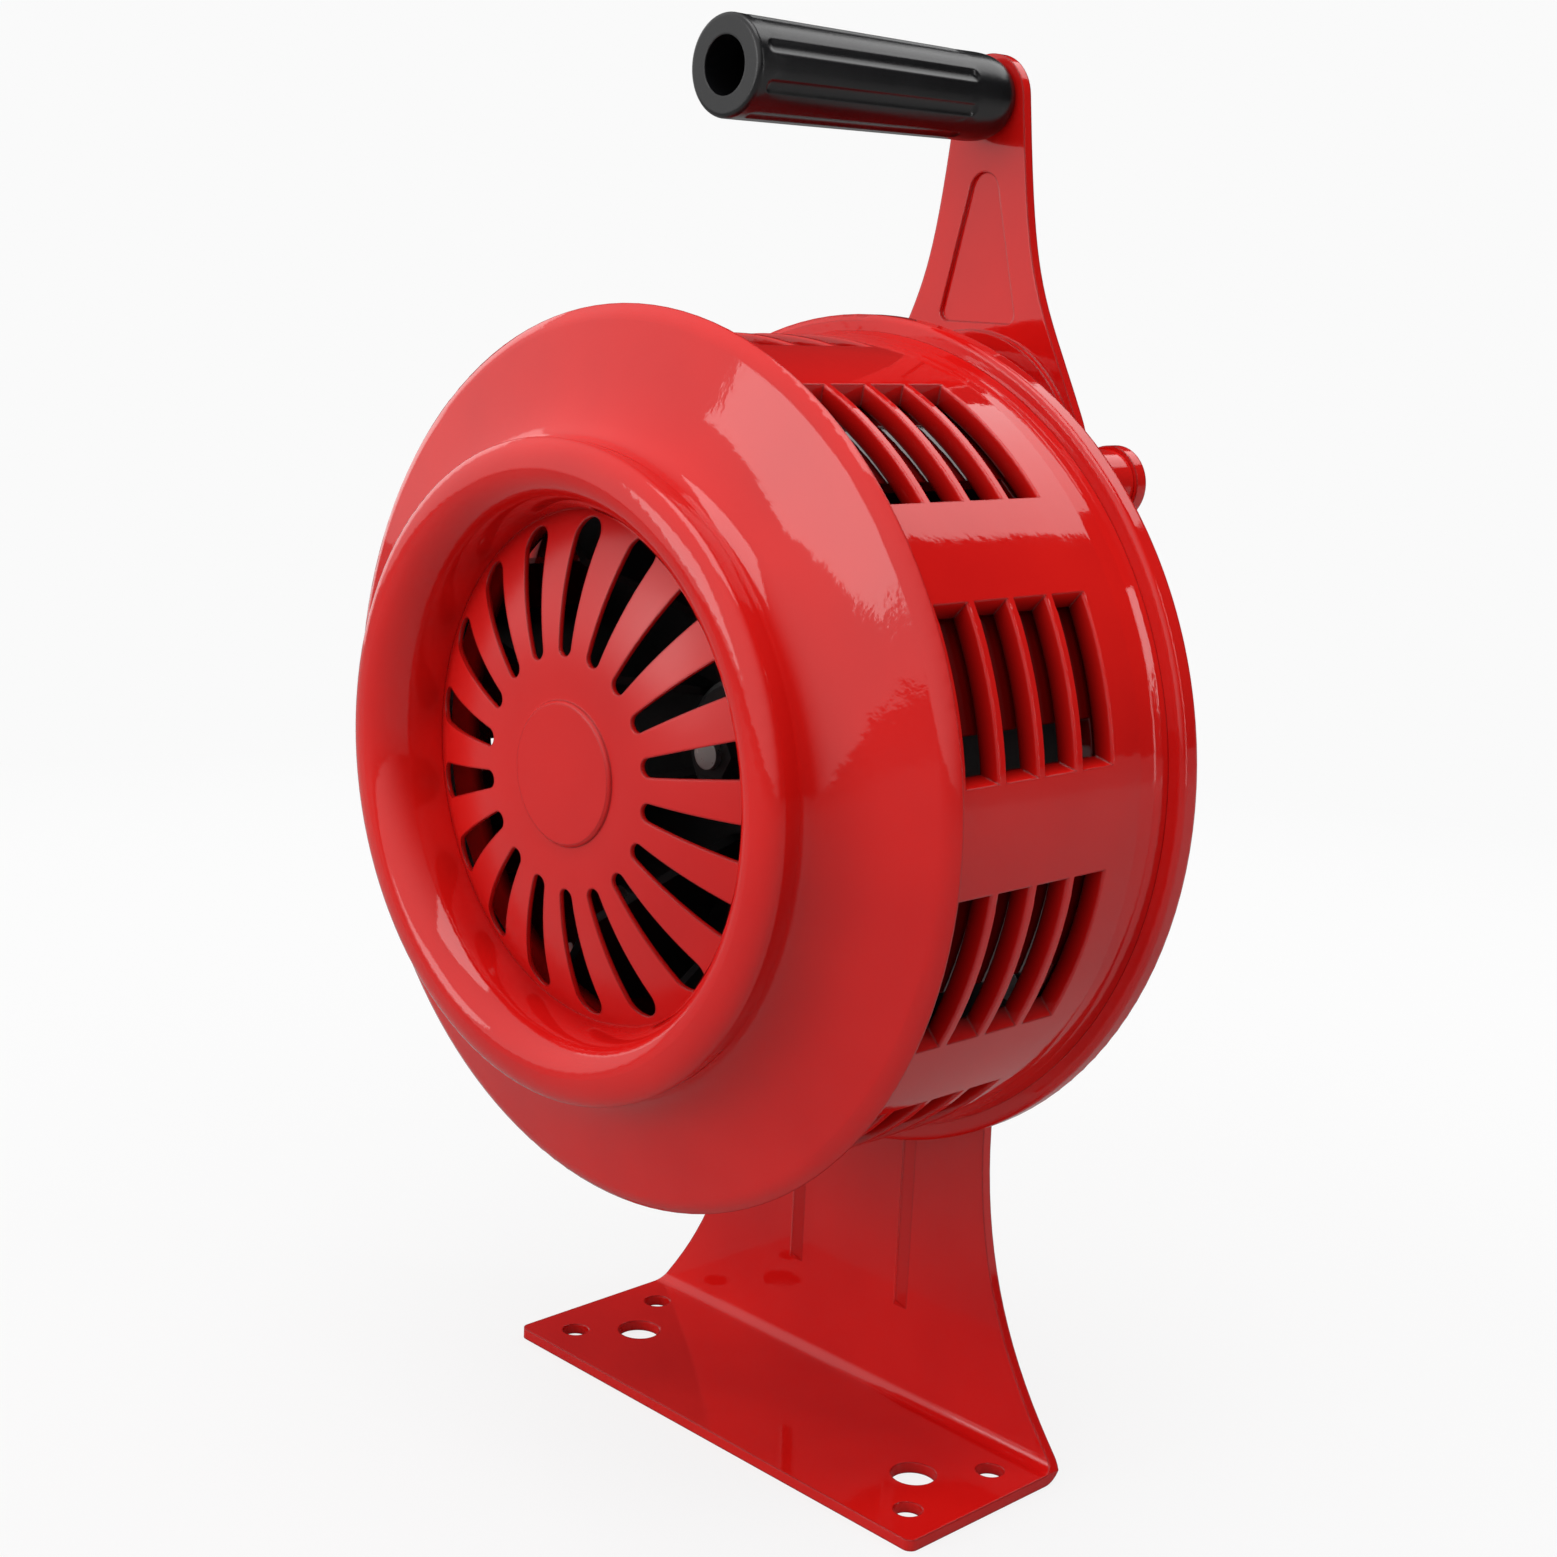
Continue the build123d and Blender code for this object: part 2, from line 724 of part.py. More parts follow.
# ---------------------------------------------------------------- gears
def tooth_flank(teeth, side):
    """One flank, root to tip, of a tooth centred on angle 0; true if it starts straight."""
    offset = shift if teeth == small_teeth else -shift
    pitch = tooth_module * teeth / 2
    tip = pitch + tooth_module * (1 + offset)
    root = pitch - tooth_module * (1.25 - offset)
    pressure = math.radians(pressure_angle)
    base = pitch * math.cos(pressure)
    thickness = tooth_module * (math.pi / 2 + 2 * offset * math.tan(pressure)) - thinning
    base_angle = thickness / (2 * pitch) + math.tan(pressure) - pressure
    low = max(base, root)
    flank = []
    for i in range(5):
        radius = low + (tip - low) * i / 4
        roll = math.acos(min(1, base / radius))
        angle = side * (base_angle - math.tan(roll) + roll)
        flank.append((radius * math.cos(angle), radius * math.sin(angle)))
    if root < base:
        angle = side * base_angle
        flank.insert(0, (root * math.cos(angle), root * math.sin(angle)))
    return flank, root < base


def arc_about(start, end):
    """Arc about the gear's own centre between two points."""
    radius = math.hypot(*start)
    a0 = math.atan2(start[1], start[0])
    a1 = math.atan2(end[1], end[0])
    if a1 < a0:
        a1 += 2 * math.pi
    middle = (a0 + a1) / 2
    return ThreePointArc(start, (radius * math.cos(middle), radius * math.sin(middle)), end)


def turn_point(point, angle):
    c = math.cos(angle)
    s = math.sin(angle)
    return (point[0] * c - point[1] * s, point[0] * s + point[1] * c)


def gear_outline(teeth):
    """Closed outline of a spur gear with one tooth centred on its first axis."""
    pitch_angle = 2 * math.pi / teeth
    right, straight = tooth_flank(teeth, -1)
    left = tooth_flank(teeth, 1)[0]
    edges = []
    for i in range(teeth):
        a = i * pitch_angle
        up = [turn_point(p, a) for p in right]
        down = [turn_point(p, a) for p in left]
        following = turn_point(right[0], a + pitch_angle)
        if straight:
            edges += [Line(up[0], up[1]), Line(down[0], down[1])]
        first = 1 if straight else 0
        edges += [Spline(*up[first:]), Spline(*down[first:])]
        edges += [arc_about(up[-1], down[-1]), arc_about(down[0], following)]
    return make_face(edges)


def spur(teeth, y0, y1, turn):
    """Gear on the drum axis, its first tooth turned above +X."""
    return plate(Rot(0, 0, turn) * gear_outline(teeth), y0, y1)


def crank_to_idler():
    return math.degrees(math.atan2(idler_z - crank_z, idler_x))


def idler_to_rotor():
    return math.degrees(math.atan2(-idler_z, -idler_x))


def meshing(turn):
    """First tooth angle of a pinion whose gap meets a tooth that points along turn."""
    return turn + 180 + 180 / small_teeth


def lightening(y0, y1):
    """Holes through a large gear's disc."""
    return ring_of(rod(gear_hole_radius, y0 - 1, y1 + 1, gear_hole_circle), gear_holes, 30)


def crank_gear():
    gear = spur(big_teeth, crank_gear_front, crank_gear_rear, crank_to_idler())
    gear -= lightening(crank_gear_front, crank_gear_rear)
    gear -= rod(rear_journal + seat_fit, crank_gear_front - 1, crank_gear_rear + 1)
    gear -= keyway(rear_journal, crank_gear_front, crank_gear_rear, 2 * seat_fit)
    return at_crank(gear)


def crank_key():
    return at_crank(keyway(rear_journal, crank_gear_front, crank_gear_rear))


def crank_circlip():
    """Spring ring that keeps the crank gear on its shaft."""
    front = crank_gear_front - 1.0
    clip = tube(rear_journal + 1.6, rear_journal - 0.4, front, crank_gear_front - 0.1)
    return at_crank(clip - Pos(0, front, -rear_journal - 1) * Box(4, 4, 5))


def idler_pinion():
    """Small gear with a long boss that carries the idler gear."""
    pinion = spur(small_teeth, idler_teeth_front, idler_teeth_rear, meshing(crank_to_idler()))
    pinion += rod(gear_hub_radius, base_rear + end_gap, idler_teeth_front)
    return at_idler(pinion - rod(idler_pin_radius + run_fit, base_rear, case_rear))


def idler_gear():
    rear = idler_gear_front + idler_gear_face
    gear = spur(big_teeth, idler_gear_front, rear, idler_to_rotor())
    gear -= lightening(idler_gear_front, rear)
    return at_idler(gear - rod(gear_hub_radius + seat_fit, idler_gear_front - 1, rear + 1))


def idler_pin():
    return at_idler(rod(idler_pin_radius, base_front + 0.1, case_rear - 0.6))


def rotor_pinion():
    pinion = spur(small_teeth, rotor_pinion_front, rotor_pinion_rear, meshing(idler_to_rotor()))
    pinion += rod(tail_radius + ring_wall(rear_race, tail_radius), rotor_pinion_rear, rear_race_y)
    return pinion - rod(tail_radius + seat_fit, rotor_pinion_front - 1, rear_race_y + 1)


# ---------------------------------------------------------------- gear case
def case_circles():
    return [(0, crank_z, case_room), (idler_x, idler_z, case_room), (0, 0, case_low)]


def base_plate():
    """Steel plate that closes the front of the gear case and bolts to the bracket."""
    ears = [(x, z, pad_radius) for x, z in both_sides(pads_upper)]
    base = plate(hull_of(case_circles() + ears), base_front, base_rear)
    base -= rod(shaft_window, base_front - 1, base_rear + 1)
    base -= at_crank(rod(front_journal + bush_wall + seat_fit, base_front - 1, base_rear + 1))
    base -= at_idler(rod(idler_pin_radius + seat_fit, base_front - 1, base_rear + 1))
    return base - [rod(bolt_radius + screw_gap, base_front - 1, base_rear + 1, x, z)
                   for x, z in both_sides(pads_upper)]


def gear_case():
    """Cast case over the gears, with four ears on the rear cover's pillars."""
    pillars = both_sides(pillars_upper) + both_sides(pillars_lower)
    case = plate(hull_of(case_circles()), base_rear, case_rear)
    for x, z in pillars:
        root = (0, max(z, 0), ear_arm)
        case += plate(hull_of([(x, z, ear_arm), root]), case_back, case_rear)
        case += rod(ear_radius, case_back, case_rear, x, z)
    case -= plate(hull_of(case_circles(), -case_wall), base_rear - 1, case_back)
    case += rod(race_boss, rear_race_y - end_gap, case_back + 0.5)
    race_rear = rear_race_y + rear_race_width
    case -= rod(rear_race + seat_fit, rear_race_y - 1, race_rear)
    case -= rod(rear_race - 2, race_rear - 1, race_rear + 0.8)
    case -= at_crank(rod(rear_journal + bush_wall + seat_fit, case_back - 1, case_rear + 1))
    case -= at_idler(rod(idler_pin_radius + seat_fit, case_back - 1, case_rear - 0.5))
    return case - [rod(case_screw_radius + screw_gap, case_back - 1, case_rear + 1, x, z)
                   for x, z in pillars]


def case_screws():
    screw = pan_screw(case_screw_radius, case_screw_length, case_rear)
    return [Pos(x, 0, z) * screw for x, z in both_sides(pillars_upper) + both_sides(pillars_lower)]


def crank_bush_front():
    """Flanged bronze bush in the base plate."""
    outer = front_journal + bush_wall
    bush = rod(outer, base_front, base_rear)
    bush += rod(outer + bush_wall, base_front - bush_flange_thickness, base_front)
    return at_crank(bush - rod(front_journal + run_fit, base_front - 5, base_rear + 5))


def crank_bush_rear():
    """Flanged bronze bush in the gear case's rear wall."""
    outer = rear_journal + bush_wall
    bush = rod(outer, crank_gear_rear + end_gap, case_rear)
    bush += rod(outer + bush_flange, case_rear, case_rear + bush_flange_thickness)
    return at_crank(bush - rod(rear_journal + run_fit, case_back - 5, case_rear + 5))


def bolt_seats():
    """Bracket bolts as (x, z, y of the face under the washer)."""
    seats = [(x, z, base_rear) for x, z in both_sides(pads_upper)]
    return seats + [(x, z, bracket_rear) for x, z in both_sides(pads_lower)]


def bracket_bolts():
    bolts = []
    for x, z, seat in bolt_seats():
        under = seat + washer_thickness
        head = hexagon(bolt_across, under, under + bolt_head)
        bolts.append(Pos(x, 0, z) * (rod(bolt_radius, drum_rear + 2.5, under) + head))
    return bolts


def bracket_washers():
    return [tube(washer_radius, bolt_radius + screw_gap, seat, seat + washer_thickness, x, z)
            for x, z, seat in bolt_seats()]


# ---------------------------------------------------------------- foot bracket
def sweep_points():
    """Control points of the right side's sweep, from the neck down to the foot."""
    slope = math.atan(sweep_slope)
    neck = (neck_half, flare_top)
    toe = (foot_width / 2, sheet - axis_height)
    return [neck, (neck_half, flare_top - sweep_upper),
            (toe[0] - sweep_lower * math.sin(slope), toe[1] + sweep_lower * math.cos(slope)), toe]


def bracket_outline():
    """Bracket seen from the front: narrow neck, sides that sweep out to the foot."""
    foot = -axis_height
    right = sweep_points()
    left = [(-x, z) for x, z in right]
    outline = make_face([
        Bezier(*right),
        Polyline(right[3], (right[3][0], foot), (left[3][0], foot), left[3]),
        Bezier(*left),
        Polyline(left[0], (-neck_half, upright_top), (neck_half, upright_top), right[0]),
    ])
    return fillet(outline.vertices().group_by(Axis.Y)[-1], upright_corner)


def bent_sheet():
    """L-shaped sheet as wide as the foot, seen from the side."""
    foot = -axis_height
    outer = bend_radius + sheet
    floor_end = bracket_rear - outer
    section = make_face([
        Polyline((floor_end, foot), (foot_front, foot), (foot_front, foot + sheet),
                 (floor_end, foot + sheet)),
        quarter((floor_end, foot + sheet), (bracket_front, foot + sheet),
                (bracket_front, foot + outer)),
        Polyline((bracket_front, foot + outer), (bracket_front, upright_top),
                 (bracket_rear, upright_top), (bracket_rear, foot + outer)),
        quarter((bracket_rear, foot + outer), (bracket_rear, foot), (floor_end, foot)),
    ])
    return extrude(Plane.YZ * section, amount=foot_width / 2, both=True)


def rib(y_face):
    """V-shaped pressed rib with a sloping lower end, standing forward of a face."""
    sunk = 0.2
    across = make_face(Polyline((-rib_half, sunk), (rib_half, sunk), (0, -rib_rise), close=True))
    along = make_face(Polyline((sunk, rib_low), (-rib_rise, rib_low + rib_half),
                               (-rib_rise, rib_high), (sunk, rib_high), close=True))
    ridge = Pos(0, 0, rib_low) * extrude(across, amount=rib_high - rib_low)
    side = extrude(Plane.YZ * along, amount=rib_half, both=True)
    return Pos(0, y_face, 0) * (ridge & side)


def foot_bracket():
    """Foot and upright bent from one sheet, with two pressed ribs."""
    foot = -axis_height
    bracket = bent_sheet() & plate(bracket_outline(), foot_front, bracket_rear)
    front_edges = bracket.edges().filter_by(Axis.Z).group_by(Axis.Y)[0]
    bracket = fillet(front_edges, foot_corner)
    for side in (-1, 1):
        bracket += Pos(side * rib_x, 0, 0) * rib(bracket_front)
        bracket -= Pos(side * rib_x, 0, 0) * rib(bracket_rear)
        bracket -= Pos(side * big_hole_x, big_hole_y, foot) * Cylinder(big_hole_radius, 4 * sheet)
        for sy in (-1, 1):
            bracket -= Pos(side * small_hole_x, pattern_y + sy * small_hole_y, foot) * Cylinder(
                small_hole_radius, 4 * sheet)
    bracket -= rod(shaft_window, bracket_front - 1, bracket_rear + 1)
    return bracket - [rod(bolt_radius + screw_gap, bracket_front - 1, bracket_rear + 1, x, z)
                      for x, z in both_sides(pads_upper) + both_sides(pads_lower)]


# ---------------------------------------------------------------- crank
def crank_shaft():
    """Stepped crank shaft with a shoulder, a square for the arm and a threaded end."""
    front = base_front - bush_flange_thickness - 1
    square_rear = disc_rear - 0.3
    shaft = rod(front_journal, front, base_rear + end_gap)
    shaft += rod(crank_middle, base_rear + end_gap, crank_gear_front)
    shaft += rod(rear_journal, crank_gear_front - 1.2, crank_shoulder)
    shaft -= tube(rear_journal + 1, rear_journal - 0.5, crank_gear_front - 1.05, crank_gear_front)
    shaft += rod(shoulder_radius, crank_shoulder, disc_front)
    shaft += plate(Rectangle(square_side, square_side), disc_front, square_rear)
    shaft += rod(crank_thread, square_rear, disc_rear + 11.0)
    shaft -= keyway(rear_journal, crank_gear_front, crank_gear_rear, seat_fit)
    return at_crank(shaft)


def arm_edge():
    """Right edge of the arm about the crank axis: four control points, from the end to the hub."""
    taper = math.atan(arm_taper)
    slope = math.atan(arm_slope)
    start = (arm_end * math.cos(taper), arm_length + arm_end * math.sin(taper))
    touch = (arm_hub * math.cos(slope), arm_hub * math.sin(slope))
    below = (start[0] + arm_upper * math.sin(taper), start[1] - arm_upper * math.cos(taper))
    above = (touch[0] - arm_lower * math.sin(slope), touch[1] + arm_lower * math.cos(slope))
    return [start, below, above, touch]


def arm_outline():
    """Arm about the crank axis: small round end above, concave sides, wide round hub."""
    right = arm_edge()
    left = [(-x, z) for x, z in right]
    return make_face([
        ThreePointArc(right[0], (0, arm_length + arm_end), left[0]),
        ThreePointArc(right[3], (0, -arm_hub), left[3]),
        Bezier(*right),
        Bezier(*left),
    ])


def panel_outline(grow=0.0):
    """Pressed triangular panel above the hub."""
    top = (0, panel_top - crank_z, panel_top_radius)
    low = [(side * panel_half, panel_low - crank_z, panel_corner) for side in (-1, 1)]
    return hull_of([top] + low, grow)


def crank_arm():
    """Sheet arm with a hub disc stepped forward and a pressed panel."""
    arm = plate(arm_outline(), arm_front, arm_rear)
    arm += rod(disc_step, disc_front, arm_rear)
    arm -= rod(disc_step - arm_sheet, disc_rear, arm_rear + 1)
    arm += plate(panel_outline(arm_sheet - panel_depth), arm_rear, arm_rear + panel_depth)
    arm -= plate(panel_outline(), arm_front - 1, arm_front + panel_depth)
    arm -= plate(Rectangle(square_side + 2 * seat_fit, square_side + 2 * seat_fit),
                 disc_front - 1, disc_rear + 1)
    arm -= rod(axle_thread + seat_fit, arm_front - 1, arm_rear + 1, 0, arm_length)
    return at_crank(arm)


def crank_washer():
    return at_crank(tube(12.0, crank_thread + screw_gap, disc_rear, arm_rear))


def crank_nut():
    nut = hexagon(18.0, arm_rear, arm_rear + 8.0)
    return at_crank(nut - rod(crank_thread + seat_fit, arm_rear - 1, arm_rear + 9))


# ---------------------------------------------------------------- grip
def grip():
    """Moulded sleeve: hollow in front, shallow flutes, drawn in towards the arm."""
    front = grip_front + grip_round
    nose = grip_radius - grip_round
    bore = axle_radius + run_fit
    floor = grip_front + grip_hollow_depth
    section = make_face([
        quarter((grip_radius, front), (grip_radius, grip_front), (nose, grip_front)),
        Line((grip_radius, front), (grip_waist, grip_taper)),
        Spline((grip_waist, grip_taper), (grip_tail, grip_rear),
               tangents=[(grip_waist - grip_radius, grip_taper - front), (-0.8, 1)]),
        Polyline((grip_tail, grip_rear), (bore, grip_rear), (bore, floor), (grip_hollow, floor),
                 (grip_hollow, grip_front), (nose, grip_front)),
    ])
    length = flute_rear - flute_front
    slope = math.atan((grip_radius - grip_waist) / (grip_taper - front))
    groove = rod(flute_radius, 0, length) + Sphere(flute_radius)
    groove += Pos(0, length, 0) * Sphere(flute_radius)
    reach = grip_radius - (flute_front - front) * math.tan(slope) + flute_radius - flute_depth
    groove = Pos(reach, flute_front, 0) * Rot(0, 0, math.degrees(slope)) * groove
    return Pos(0, 0, grip_z) * (spun(section) - ring_of(groove, flutes, 22.5))


def grip_axle():
    """Shoulder bolt, its head deep inside the grip."""
    head_rear = grip_front + grip_hollow_depth - end_gap
    axle = rod(axle_head, head_rear - axle_head_length, head_rear)
    axle += rod(axle_radius, head_rear, arm_front)
    axle += rod(axle_thread, arm_front, arm_rear + 8.0)
    return Pos(0, 0, grip_z) * axle


def grip_washer():
    return Pos(0, 0, grip_z) * tube(6.5, axle_thread + screw_gap, arm_rear,
                                    arm_rear + washer_thickness)


def grip_nut():
    seat = arm_rear + washer_thickness
    nut = hexagon(10.0, seat, seat + 5.0) - rod(axle_thread + seat_fit, seat - 1, seat + 6)
    return Pos(0, 0, grip_z) * nut


# ---------------------------------------------------------------- write every piece
pieces = {
    "front_bell": front_bell,
    "intake_grille": intake_grille,
    "grille_ring": grille_ring,
    "bell_screws": bell_screws_shape,
    "stator_drum": stator_drum,
    "rear_cover": rear_cover,
    "rear_cover_screws": cover_screws_shape,
    "bearing_circlip": bearing_circlip,
    "bearing_outer_rings": bearing_outer_rings,
    "bearing_inner_rings": bearing_inner_rings,
    "bearing_balls": bearing_balls,
    "rotor_rim": rotor_rim,
    "rotor_rivets": rivets_shape,
    "rotor_wheel": rotor_wheel,
    "rotor_vanes": rotor_vanes,
    "rotor_key": rotor_key,
    "rotor_shaft": rotor_shaft,
    "rotor_spacer": rotor_spacer,
    "rotor_washer": rotor_washer,
    "rotor_nut": rotor_nut,
    "rotor_pinion": rotor_pinion,
    "idler_gear": idler_gear,
    "idler_pinion": idler_pinion,
    "idler_pin": idler_pin,
    "crank_gear": crank_gear,
    "crank_key": crank_key,
    "crank_circlip": crank_circlip,
    "crank_shaft": crank_shaft,
    "crank_bush_front": crank_bush_front,
    "crank_bush_rear": crank_bush_rear,
    "gear_base_plate": base_plate,
    "gear_case": gear_case,
    "gear_case_screws": case_screws,
    "bracket_bolts": bracket_bolts,
    "bracket_washers": bracket_washers,
    "foot_bracket": foot_bracket,
    "crank_arm": crank_arm,
    "crank_washer": crank_washer,
    "crank_nut": crank_nut,
    "grip": grip,
    "grip_axle": grip_axle,
    "grip_washer": grip_washer,
    "grip_nut": grip_nut,
}

to_foot_frame = Pos(0, -pattern_y, axis_height)
os.makedirs("parts", exist_ok=True)
for node, make in pieces.items():
    made = make()
    shapes = made if isinstance(made, list) else [made]
    placed = [to_foot_frame * solid for shape in shapes for solid in shape.solids()]
    export_step(placed[0] if len(placed) == 1 else Compound(children=placed), f"parts/{node}.step")
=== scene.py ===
import json
import math

import bpy
from mathutils import Matrix, Vector

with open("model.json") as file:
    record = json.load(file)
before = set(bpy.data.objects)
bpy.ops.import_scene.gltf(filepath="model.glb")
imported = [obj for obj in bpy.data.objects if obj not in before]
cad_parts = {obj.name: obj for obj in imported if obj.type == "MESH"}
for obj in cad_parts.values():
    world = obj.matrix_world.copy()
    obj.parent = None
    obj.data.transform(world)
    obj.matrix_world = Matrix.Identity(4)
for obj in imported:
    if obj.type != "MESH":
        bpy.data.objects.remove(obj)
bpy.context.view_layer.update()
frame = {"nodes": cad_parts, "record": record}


# ---------------------------------------------------------------- sizes from the CAD, in metres
drum_axis = 0.188           # height of the drum's axis
drum_outside = 0.1036       # just inside the drum's outer face
drum_inside = 0.0990        # the drum's bore
drum_front = (-0.0600, -0.0570)
drum_rear = (0.0158, 0.0152)


# ---------------------------------------------------------------- shader helpers
def set_range(node, source, result=(0.0, 1.0)):
    """Limits of a Map Range node."""
    names = ("From Min", "From Max", "To Min", "To Max")
    for socket, value in zip(names, (*source, *result)):
        node.inputs[socket].default_value = value


def dimmed(colour, share):
    return tuple(c * share for c in colour)


class Shader:
    """A node material built up in object coordinates, in metres."""

    def __init__(self, name):
        self.material = bpy.data.materials.new(name)
        self.material.use_nodes = True
        self.tree = self.material.node_tree
        self.tree.nodes.clear()
        self.out = self.add("ShaderNodeOutputMaterial")
        self.bsdf = self.add("ShaderNodeBsdfPrincipled")
        self.link(self.bsdf, "BSDF", self.out, "Surface")
        self.coords = self.add("ShaderNodeTexCoord")

    def add(self, kind, **values):
        node = self.tree.nodes.new(kind)
        for key, value in values.items():
            setattr(node, key, value)
        return node

    def link(self, a, out, b, socket):
        self.tree.links.new(a.outputs[out], b.inputs[socket])

    def set(self, **values):
        for key, value in values.items():
            self.bsdf.inputs[key.replace("_", " ")].default_value = value

    def noise(self, scale, detail=3.0):
        noise = self.add("ShaderNodeTexNoise")
        noise.inputs["Scale"].default_value = scale
        noise.inputs["Detail"].default_value = detail
        self.link(self.coords, "Object", noise, "Vector")
        return noise

    def product(self, a, b):
        """Product of two (node, output) values."""
        node = self.add("ShaderNodeMath", operation="MULTIPLY")
        self.link(*a, node, 0)
        self.link(*b, node, 1)
        return node, "Value"

    def span(self, source, limits, result=(0.0, 1.0)):
        """A (node, output) value taken from its limits to the result's."""
        node = self.add("ShaderNodeMapRange")
        set_range(node, limits, result)
        self.link(*source, node, "Value")
        return node, "Result"

    def ramp(self, source, out, stops):
        """Colour ramp through (place, colour) stops."""
        ramp = self.add("ShaderNodeValToRGB")
        while len(ramp.color_ramp.elements) < len(stops):
            ramp.color_ramp.elements.new(0.5)
        for element, (place, colour) in zip(ramp.color_ramp.elements, stops):
            element.position = place
            element.color = (*colour, 1.0)
        self.link(source, out, ramp, "Fac")
        return ramp

    def mix(self, fac, a, b):
        """Colour mix; fac is (node, output), a and b are colours or (node, output)."""
        mix = self.add("ShaderNodeMix", data_type="RGBA")
        self.link(*fac, mix, "Factor")
        colour_a, colour_b, colour_out = 6, 7, 2
        for socket, side in ((colour_a, a), (colour_b, b)):
            if isinstance(side[0], bpy.types.Node):
                self.link(*side, mix, socket)
            else:
                mix.inputs[socket].default_value = (*side, 1.0)
        return mix, colour_out

    def roughness(self, noise, low, high):
        self.link(*self.span((noise, "Fac"), (0.0, 1.0), (low, high)), self.bsdf, "Roughness")

    def edge_normal(self, radius):
        """Normal that looks as if sharp edges were rounded."""
        bevel = self.add("ShaderNodeBevel", samples=4)
        bevel.inputs["Radius"].default_value = radius
        return bevel

    def edge_mask(self, bevel):
        """One on sharp edges, nought on open faces."""
        flat = self.add("ShaderNodeNewGeometry")
        dot = self.add("ShaderNodeVectorMath", operation="DOT_PRODUCT")
        self.link(bevel, "Normal", dot, 0)
        self.link(flat, "Normal", dot, 1)
        return self.span((dot, "Value"), (0.985, 0.86))

    def bumps(self, layers, last=None):
        """Bump layers as (noise, height in metres), laid on a first normal if one is given."""
        for noise, height in layers:
            bump = self.add("ShaderNodeBump")
            bump.inputs["Strength"].default_value = 1.0
            bump.inputs["Distance"].default_value = height
            self.link(noise, "Fac", bump, "Height")
            if last:
                self.link(last, "Normal", bump, "Normal")
            last = bump
        self.link(last, "Normal", self.bsdf, "Normal")
        self.link(last, "Normal", self.bsdf, "Coat Normal")


def painted_drum_shade(s):
    """One on surfaces inside the drum's wall, where the enamel is darkened to paint in the shade
    there.
    """
    split = s.add("ShaderNodeSeparateXYZ")
    s.link(s.coords, "Object", split, "Vector")
    height = s.add("ShaderNodeMath", operation="SUBTRACT")
    height.inputs[1].default_value = drum_axis
    s.link(split, "Z", height, 0)
    flat = s.add("ShaderNodeCombineXYZ")
    s.link(split, "X", flat, "X")
    s.link(height, "Value", flat, "Y")
    radius = s.add("ShaderNodeVectorMath", operation="LENGTH")
    s.link(flat, "Vector", radius, 0)
    near = s.span((radius, "Value"), (drum_outside, drum_inside))
    along = s.product(s.span((split, "Y"), drum_front), s.span((split, "Y"), drum_rear))
    return s.product(near, along)


def speck_mask(s):
    """One on a few small specks, nought elsewhere."""
    black, white = (0, 0, 0), (1, 1, 1)
    specks = s.add("ShaderNodeTexVoronoi", feature="F1")
    specks.inputs["Scale"].default_value = 85.0
    s.link(s.coords, "Object", specks, "Vector")
    dots = s.ramp(specks, "Distance", [(0.0, white), (0.03, white), (0.045, black)])
    few = s.ramp(s.noise(37.0, 1.0), "Fac", [(0.68, black), (0.71, white)])
    return s.product((dots, "Color"), (few, "Color"))


def enamel(name, red, deep, satin=0.3, coat=0.05, wave=1.0, drum=False):
    """Thick glossy enamel: uneven colour, orange peel and slow waves, darker along sharp edges,
    with painted shade inside the drum's wall when drum is set.
    """
    s = Shader(name)
    bevel = s.edge_normal(0.0008)
    colour = s.ramp(s.noise(11.0), "Fac", [(0.32, deep), (0.68, red)])
    # darker colour along sharp edges and creases
    paint = s.mix(s.edge_mask(bevel), (colour, "Color"), dimmed(deep, 0.62))
    paint = s.mix(speck_mask(s), paint, dimmed(deep, 0.35))
    # painted shade: the red enamel on surfaces inside the drum's wall is darkened towards near
    # black
    if drum:
        paint = s.mix(painted_drum_shade(s), paint, dimmed(deep, 0.2))
    s.link(*paint, s.bsdf, "Base Color")
    s.set(Coat_Weight=1.0, Coat_Roughness=coat, Coat_IOR=1.5, Specular_IOR_Level=0.0)
    s.roughness(s.noise(140.0), satin, satin + 0.12)
    peel = (s.noise(430.0, 2.0), 0.000022 * wave)
    ripple = (s.noise(95.0, 1.0), 0.00007 * wave)
    swell = (s.noise(26.0, 1.0), 0.00022 * wave)
    s.bumps([peel, ripple, swell], bevel)
    return s.material


def metal(name, colour, low, high):
    """Plated or turned metal with fine tool marks."""
    s = Shader(name)
    marks = s.noise(900.0, 4.0)
    tint = s.ramp(s.noise(40.0), "Fac", [(0.3, dimmed(colour, 0.8)), (0.7, colour)])
    s.link(tint, "Color", s.bsdf, "Base Color")
    s.set(Metallic=1.0)
    s.roughness(marks, low, high)
    s.bumps([(marks, 0.00002)], s.edge_normal(0.0003))
    return s.material


def moulded(name, colour, low, high):
    """Moulded plastic or lacquer with a faint grain."""
    s = Shader(name)
    tint = s.ramp(s.noise(30.0), "Fac", [(0.3, dimmed(colour, 0.7)), (0.7, colour)])
    s.link(tint, "Color", s.bsdf, "Base Color")
    s.roughness(s.noise(90.0), low, high)
    grain = (s.noise(1300.0, 2.0), 0.000012)
    swell = (s.noise(60.0, 2.0), 0.00006)
    s.bumps([grain, swell], s.edge_normal(0.0006))
    return s.material


